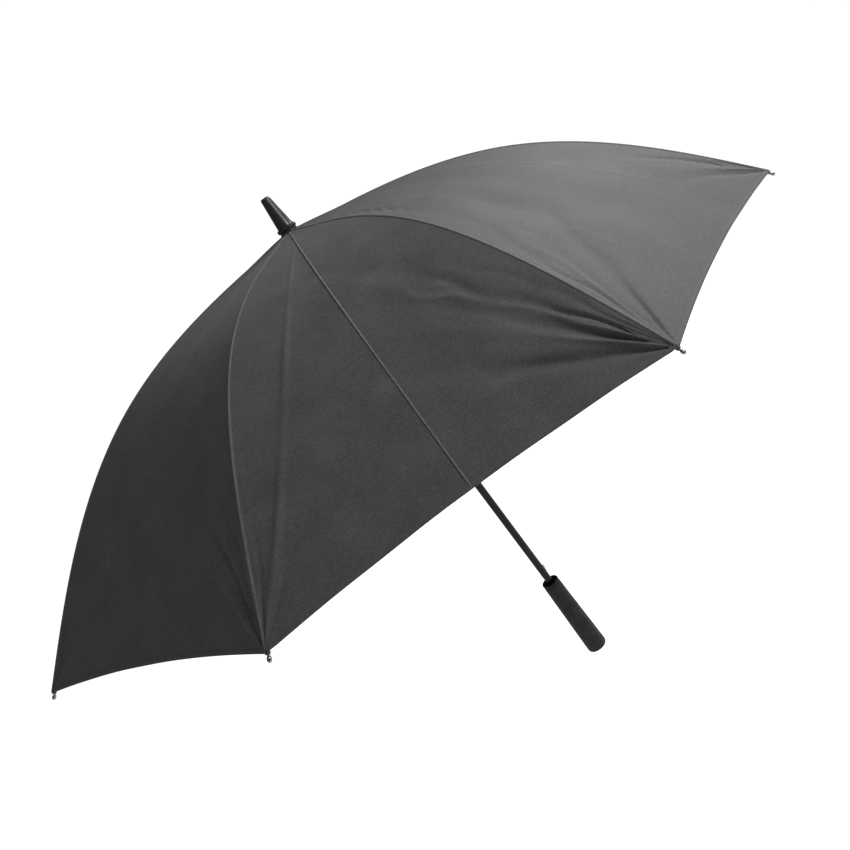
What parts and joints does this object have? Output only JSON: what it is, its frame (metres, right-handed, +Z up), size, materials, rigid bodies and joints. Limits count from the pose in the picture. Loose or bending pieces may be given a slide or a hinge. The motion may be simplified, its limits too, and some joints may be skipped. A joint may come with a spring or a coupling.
{
  "type": "golf umbrella",
  "caption": "Large open golf umbrella with a dark scalloped canopy, folding ribs, sliding runner and straight foam grip.",
  "frame": {"origin": "centre of the hand grip, on the shaft's axis", "axes": "+Z up the shaft to the spike; -Y towards the middle of the front canopy panel"},
  "size_m": [1.262, 1.262, 1.0125],
  "materials": {
    "fabric": "charcoal pongee weave, slight sheen",
    "rod": "black glass-fibre rod, satin",
    "shaft": "black glass-fibre tube, satin",
    "plastic": "black moulded plastic, glossy",
    "foam": "black EVA foam, matt",
    "steel": "plated spring steel",
    "tip": "pale moulded tip, satin"
  },
  "bodies": {
    "shaft": {"shaft": "shaft", "spike": "plastic", "top_notch": "plastic", "notch_wire": "steel", "grip_core": "plastic", "grip_foam": "foam", "grip_collar": "plastic", "grip_end_cap": "plastic"},
    "top_catch": {"top_catch": "steel"},
    "bottom_catch": {"bottom_catch": "steel"},
    "runner": {"runner": "plastic", "runner_wire": "steel"},
    "rib_1": {"rib_inner_1": "rod"},
    "rib_end_1": {"rib_outer_1": "rod", "tip_1": "tip"},
    "stretcher_1": {"stretcher_1": "rod"},
    "rib_2": {"rib_inner_2": "rod"},
    "rib_end_2": {"rib_outer_2": "rod", "tip_2": "tip"},
    "stretcher_2": {"stretcher_2": "rod"},
    "rib_3": {"rib_inner_3": "rod"},
    "rib_end_3": {"rib_outer_3": "rod", "tip_3": "tip"},
    "stretcher_3": {"stretcher_3": "rod"},
    "rib_4": {"rib_inner_4": "rod"},
    "rib_end_4": {"rib_outer_4": "rod", "tip_4": "tip"},
    "stretcher_4": {"stretcher_4": "rod"},
    "rib_5": {"rib_inner_5": "rod"},
    "rib_end_5": {"rib_outer_5": "rod", "tip_5": "tip"},
    "stretcher_5": {"stretcher_5": "rod"},
    "rib_6": {"rib_inner_6": "rod"},
    "rib_end_6": {"rib_outer_6": "rod", "tip_6": "tip"},
    "stretcher_6": {"stretcher_6": "rod"},
    "rib_7": {"rib_inner_7": "rod"},
    "rib_end_7": {"rib_outer_7": "rod", "tip_7": "tip"},
    "stretcher_7": {"stretcher_7": "rod"},
    "rib_8": {"rib_inner_8": "rod"},
    "rib_end_8": {"rib_outer_8": "rod", "tip_8": "tip"},
    "stretcher_8": {"stretcher_8": "rod"},
    "panel_1": {"canopy_inner_1": "fabric"},
    "panel_hem_1": {"canopy_outer_1": "fabric"},
    "panel_2": {"canopy_inner_2": "fabric"},
    "panel_hem_2": {"canopy_outer_2": "fabric"},
    "panel_3": {"canopy_inner_3": "fabric"},
    "panel_hem_3": {"canopy_outer_3": "fabric"},
    "panel_4": {"canopy_inner_4": "fabric"},
    "panel_hem_4": {"canopy_outer_4": "fabric"},
    "panel_5": {"canopy_inner_5": "fabric"},
    "panel_hem_5": {"canopy_outer_5": "fabric"},
    "panel_6": {"canopy_inner_6": "fabric"},
    "panel_hem_6": {"canopy_outer_6": "fabric"},
    "panel_7": {"canopy_inner_7": "fabric"},
    "panel_hem_7": {"canopy_outer_7": "fabric"},
    "panel_8": {"canopy_inner_8": "fabric"},
    "panel_hem_8": {"canopy_outer_8": "fabric"}
  },
  "joints": [
    {"name": "canopy_fold", "type": "hinge", "parent": "shaft", "child": "rib_1", "pos_m": [0.00497, -0.01201, 0.856], "axis": [0.9239, 0.3827, 0], "range_deg": [0, 76.5]},
    {"name": "rib_1_flex", "type": "hinge", "parent": "rib_1", "child": "rib_end_1", "pos_m": [0.13156, -0.31761, 0.79268], "axis": [0.9239, 0.3827, 0], "range_deg": [-23.72, 0]},
    {"name": "stretcher_1_swing", "type": "hinge", "parent": "rib_1", "child": "stretcher_1", "pos_m": [0.12786, -0.30869, 0.79006], "axis": [0.9239, 0.3827, 0], "range_deg": [-153, 0]},
    {"name": "runner_travel", "type": "hinge", "parent": "stretcher_1", "child": "runner", "pos_m": [0.00497, -0.01201, 0.72413], "axis": [0.9239, 0.3827, 0], "range_deg": [0, 76.5]},
    {"name": "rib_2_fold", "type": "hinge", "parent": "shaft", "child": "rib_2", "pos_m": [0.01201, -0.00497, 0.856], "axis": [0.3827, 0.9239, 0], "range_deg": [0, 76.5]},
    {"name": "rib_2_flex", "type": "hinge", "parent": "rib_2", "child": "rib_end_2", "pos_m": [0.31761, -0.13156, 0.79268], "axis": [0.3827, 0.9239, 0], "range_deg": [-23.72, 0]},
    {"name": "stretcher_2_swing", "type": "hinge", "parent": "rib_2", "child": "stretcher_2", "pos_m": [0.30869, -0.12786, 0.79006], "axis": [0.3827, 0.9239, 0], "range_deg": [-153, 0]},
    {"name": "rib_3_fold", "type": "hinge", "parent": "shaft", "child": "rib_3", "pos_m": [0.01201, 0.00497, 0.856], "axis": [-0.3827, 0.9239, 0], "range_deg": [0, 76.5]},
    {"name": "rib_3_flex", "type": "hinge", "parent": "rib_3", "child": "rib_end_3", "pos_m": [0.31761, 0.13156, 0.79268], "axis": [-0.3827, 0.9239, 0], "range_deg": [-23.72, 0]},
    {"name": "stretcher_3_swing", "type": "hinge", "parent": "rib_3", "child": "stretcher_3", "pos_m": [0.30869, 0.12786, 0.79006], "axis": [-0.3827, 0.9239, 0], "range_deg": [-153, 0]},
    {"name": "rib_4_fold", "type": "hinge", "parent": "shaft", "child": "rib_4", "pos_m": [0.00497, 0.01201, 0.856], "axis": [-0.9239, 0.3827, 0], "range_deg": [0, 76.5]},
    {"name": "rib_4_flex", "type": "hinge", "parent": "rib_4", "child": "rib_end_4", "pos_m": [0.13156, 0.31761, 0.79268], "axis": [-0.9239, 0.3827, 0], "range_deg": [-23.72, 0]},
    {"name": "stretcher_4_swing", "type": "hinge", "parent": "rib_4", "child": "stretcher_4", "pos_m": [0.12786, 0.30869, 0.79006], "axis": [-0.9239, 0.3827, 0], "range_deg": [-153, 0]},
    {"name": "rib_5_fold", "type": "hinge", "parent": "shaft", "child": "rib_5", "pos_m": [-0.00497, 0.01201, 0.856], "axis": [-0.9239, -0.3827, 0], "range_deg": [0, 76.5]},
    {"name": "rib_5_flex", "type": "hinge", "parent": "rib_5", "child": "rib_end_5", "pos_m": [-0.13156, 0.31761, 0.79268], "axis": [-0.9239, -0.3827, 0], "range_deg": [-23.72, 0]},
    {"name": "stretcher_5_swing", "type": "hinge", "parent": "rib_5", "child": "stretcher_5", "pos_m": [-0.12786, 0.30869, 0.79006], "axis": [-0.9239, -0.3827, 0], "range_deg": [-153, 0]},
    {"name": "rib_6_fold", "type": "hinge", "parent": "shaft", "child": "rib_6", "pos_m": [-0.01201, 0.00497, 0.856], "axis": [-0.3827, -0.9239, 0], "range_deg": [0, 76.5]},
    {"name": "rib_6_flex", "type": "hinge", "parent": "rib_6", "child": "rib_end_6", "pos_m": [-0.31761, 0.13156, 0.79268], "axis": [-0.3827, -0.9239, 0], "range_deg": [-23.72, 0]},
    {"name": "stretcher_6_swing", "type": "hinge", "parent": "rib_6", "child": "stretcher_6", "pos_m": [-0.30869, 0.12786, 0.79006], "axis": [-0.3827, -0.9239, 0], "range_deg": [-153, 0]},
    {"name": "rib_7_fold", "type": "hinge", "parent": "shaft", "child": "rib_7", "pos_m": [-0.01201, -0.00497, 0.856], "axis": [0.3827, -0.9239, 0], "range_deg": [0, 76.5]},
    {"name": "rib_7_flex", "type": "hinge", "parent": "rib_7", "child": "rib_end_7", "pos_m": [-0.31761, -0.13156, 0.79268], "axis": [0.3827, -0.9239, 0], "range_deg": [-23.72, 0]},
    {"name": "stretcher_7_swing", "type": "hinge", "parent": "rib_7", "child": "stretcher_7", "pos_m": [-0.30869, -0.12786, 0.79006], "axis": [0.3827, -0.9239, 0], "range_deg": [-153, 0]},
    {"name": "rib_8_fold", "type": "hinge", "parent": "shaft", "child": "rib_8", "pos_m": [-0.00497, -0.01201, 0.856], "axis": [0.9239, -0.3827, 0], "range_deg": [0, 76.5]},
    {"name": "rib_8_flex", "type": "hinge", "parent": "rib_8", "child": "rib_end_8", "pos_m": [-0.13156, -0.31761, 0.79268], "axis": [0.9239, -0.3827, 0], "range_deg": [-23.72, 0]},
    {"name": "stretcher_8_swing", "type": "hinge", "parent": "rib_8", "child": "stretcher_8", "pos_m": [-0.12786, -0.30869, 0.79006], "axis": [0.9239, -0.3827, 0], "range_deg": [-153, 0]},
    {"name": "panel_1_fold", "type": "hinge", "parent": "shaft", "child": "panel_1", "pos_m": [0, -0.01201, 0.856], "axis": [1, 0, 0], "range_deg": [0, 75.69], "deforming": ["canopy_inner_1"]},
    {"name": "panel_1_flex", "type": "hinge", "parent": "panel_1", "child": "panel_hem_1", "pos_m": [0, -0.31887, 0.79611], "axis": [1, 0, 0], "range_deg": [-25.06, 0], "deforming": ["canopy_outer_1"]},
    {"name": "panel_2_fold", "type": "hinge", "parent": "shaft", "child": "panel_2", "pos_m": [0.00849, -0.00849, 0.856], "axis": [0.7071, 0.7071, 0], "range_deg": [0, 75.69], "deforming": ["canopy_inner_2"]},
    {"name": "panel_2_flex", "type": "hinge", "parent": "panel_2", "child": "panel_hem_2", "pos_m": [0.22548, -0.22548, 0.79611], "axis": [0.7071, 0.7071, 0], "range_deg": [-25.06, 0], "deforming": ["canopy_outer_2"]},
    {"name": "panel_3_fold", "type": "hinge", "parent": "shaft", "child": "panel_3", "pos_m": [0.01201, 0, 0.856], "axis": [0, 1, 0], "range_deg": [0, 75.69], "deforming": ["canopy_inner_3"]},
    {"name": "panel_3_flex", "type": "hinge", "parent": "panel_3", "child": "panel_hem_3", "pos_m": [0.31887, 0, 0.79611], "axis": [0, 1, 0], "range_deg": [-25.06, 0], "deforming": ["canopy_outer_3"]},
    {"name": "panel_4_fold", "type": "hinge", "parent": "shaft", "child": "panel_4", "pos_m": [0.00849, 0.00849, 0.856], "axis": [-0.7071, 0.7071, 0], "range_deg": [0, 75.69], "deforming": ["canopy_inner_4"]},
    {"name": "panel_4_flex", "type": "hinge", "parent": "panel_4", "child": "panel_hem_4", "pos_m": [0.22548, 0.22548, 0.79611], "axis": [-0.7071, 0.7071, 0], "range_deg": [-25.06, 0], "deforming": ["canopy_outer_4"]},
    {"name": "panel_5_fold", "type": "hinge", "parent": "shaft", "child": "panel_5", "pos_m": [0, 0.01201, 0.856], "axis": [-1, 0, 0], "range_deg": [0, 75.69], "deforming": ["canopy_inner_5"]},
    {"name": "panel_5_flex", "type": "hinge", "parent": "panel_5", "child": "panel_hem_5", "pos_m": [0, 0.31887, 0.79611], "axis": [-1, 0, 0], "range_deg": [-25.06, 0], "deforming": ["canopy_outer_5"]},
    {"name": "panel_6_fold", "type": "hinge", "parent": "shaft", "child": "panel_6", "pos_m": [-0.00849, 0.00849, 0.856], "axis": [-0.7071, -0.7071, 0], "range_deg": [0, 75.69], "deforming": ["canopy_inner_6"]},
    {"name": "panel_6_flex", "type": "hinge", "parent": "panel_6", "child": "panel_hem_6", "pos_m": [-0.22548, 0.22548, 0.79611], "axis": [-0.7071, -0.7071, 0], "range_deg": [-25.06, 0], "deforming": ["canopy_outer_6"]},
    {"name": "panel_7_fold", "type": "hinge", "parent": "shaft", "child": "panel_7", "pos_m": [-0.01201, 0, 0.856], "axis": [0, -1, 0], "range_deg": [0, 75.69], "deforming": ["canopy_inner_7"]},
    {"name": "panel_7_flex", "type": "hinge", "parent": "panel_7", "child": "panel_hem_7", "pos_m": [-0.31887, 0, 0.79611], "axis": [0, -1, 0], "range_deg": [-25.06, 0], "deforming": ["canopy_outer_7"]},
    {"name": "panel_8_fold", "type": "hinge", "parent": "shaft", "child": "panel_8", "pos_m": [-0.00849, -0.00849, 0.856], "axis": [0.7071, -0.7071, 0], "range_deg": [0, 75.69], "deforming": ["canopy_inner_8"]},
    {"name": "panel_8_flex", "type": "hinge", "parent": "panel_8", "child": "panel_hem_8", "pos_m": [-0.22548, -0.22548, 0.79611], "axis": [0.7071, -0.7071, 0], "range_deg": [-25.06, 0], "deforming": ["canopy_outer_8"]},
    {"name": "top_catch_press", "type": "slide", "parent": "shaft", "child": "top_catch", "axis": [-1, 0, 0], "range_m": [0, 0.0024], "stiffness_N_per_m": 900, "springref_m": -0.002},
    {"name": "bottom_catch_press", "type": "slide", "parent": "shaft", "child": "bottom_catch", "axis": [-1, 0, 0], "range_m": [0, 0.0024], "stiffness_N_per_m": 900, "springref_m": -0.002}
  ],
  "couplings": [
    {"joint": "rib_1_flex", "follows": "canopy_fold", "ratio": -0.31},
    {"joint": "stretcher_1_swing", "follows": "canopy_fold", "ratio": -2},
    {"joint": "runner_travel", "follows": "canopy_fold", "ratio": 1},
    {"joint": "rib_2_fold", "follows": "canopy_fold", "ratio": 1},
    {"joint": "rib_2_flex", "follows": "canopy_fold", "ratio": -0.31},
    {"joint": "stretcher_2_swing", "follows": "canopy_fold", "ratio": -2},
    {"joint": "rib_3_fold", "follows": "canopy_fold", "ratio": 1},
    {"joint": "rib_3_flex", "follows": "canopy_fold", "ratio": -0.31},
    {"joint": "stretcher_3_swing", "follows": "canopy_fold", "ratio": -2},
    {"joint": "rib_4_fold", "follows": "canopy_fold", "ratio": 1},
    {"joint": "rib_4_flex", "follows": "canopy_fold", "ratio": -0.31},
    {"joint": "stretcher_4_swing", "follows": "canopy_fold", "ratio": -2},
    {"joint": "rib_5_fold", "follows": "canopy_fold", "ratio": 1},
    {"joint": "rib_5_flex", "follows": "canopy_fold", "ratio": -0.31},
    {"joint": "stretcher_5_swing", "follows": "canopy_fold", "ratio": -2},
    {"joint": "rib_6_fold", "follows": "canopy_fold", "ratio": 1},
    {"joint": "rib_6_flex", "follows": "canopy_fold", "ratio": -0.31},
    {"joint": "stretcher_6_swing", "follows": "canopy_fold", "ratio": -2},
    {"joint": "rib_7_fold", "follows": "canopy_fold", "ratio": 1},
    {"joint": "rib_7_flex", "follows": "canopy_fold", "ratio": -0.31},
    {"joint": "stretcher_7_swing", "follows": "canopy_fold", "ratio": -2},
    {"joint": "rib_8_fold", "follows": "canopy_fold", "ratio": 1},
    {"joint": "rib_8_flex", "follows": "canopy_fold", "ratio": -0.31},
    {"joint": "stretcher_8_swing", "follows": "canopy_fold", "ratio": -2},
    {"joint": "panel_1_fold", "follows": "canopy_fold", "ratio": 0.9894},
    {"joint": "panel_1_flex", "follows": "canopy_fold", "ratio": -0.3275},
    {"joint": "panel_2_fold", "follows": "canopy_fold", "ratio": 0.9894},
    {"joint": "panel_2_flex", "follows": "canopy_fold", "ratio": -0.3275},
    {"joint": "panel_3_fold", "follows": "canopy_fold", "ratio": 0.9894},
    {"joint": "panel_3_flex", "follows": "canopy_fold", "ratio": -0.3275},
    {"joint": "panel_4_fold", "follows": "canopy_fold", "ratio": 0.9894},
    {"joint": "panel_4_flex", "follows": "canopy_fold", "ratio": -0.3275},
    {"joint": "panel_5_fold", "follows": "canopy_fold", "ratio": 0.9894},
    {"joint": "panel_5_flex", "follows": "canopy_fold", "ratio": -0.3275},
    {"joint": "panel_6_fold", "follows": "canopy_fold", "ratio": 0.9894},
    {"joint": "panel_6_flex", "follows": "canopy_fold", "ratio": -0.3275},
    {"joint": "panel_7_fold", "follows": "canopy_fold", "ratio": 0.9894},
    {"joint": "panel_7_flex", "follows": "canopy_fold", "ratio": -0.3275},
    {"joint": "panel_8_fold", "follows": "canopy_fold", "ratio": 0.9894},
    {"joint": "panel_8_flex", "follows": "canopy_fold", "ratio": -0.3275}
  ]
}
